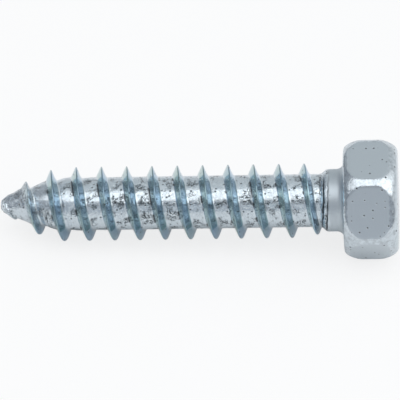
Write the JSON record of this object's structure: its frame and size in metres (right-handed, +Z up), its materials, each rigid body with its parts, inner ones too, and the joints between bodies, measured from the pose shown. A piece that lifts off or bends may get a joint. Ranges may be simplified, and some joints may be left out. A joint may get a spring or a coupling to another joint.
{
  "type": "hex head self-tapping screw",
  "caption": "Self-tapping screw with a hexagon head, a plain neck under it and a coarse rolled thread that runs onto a blunt tapered point; zinc plated steel.",
  "frame": {"origin": "on the table, below the middle of the screw as it lies at rest on a flat of its head and a crest near its point", "axes": "+X along the screw towards its head, level with the table; +Z up from the table. The screw's own axis leans 3.5 degrees down towards the point"},
  "size_m": [0.0294, 0.009, 0.0081],
  "materials": {
    "zinc_plated_steel": "bright zinc plate with a clear blue passivation, satin on the flats of the head"
  },
  "bodies": {
    "root": {"screw": "zinc_plated_steel"}
  },
  "joints": []
}
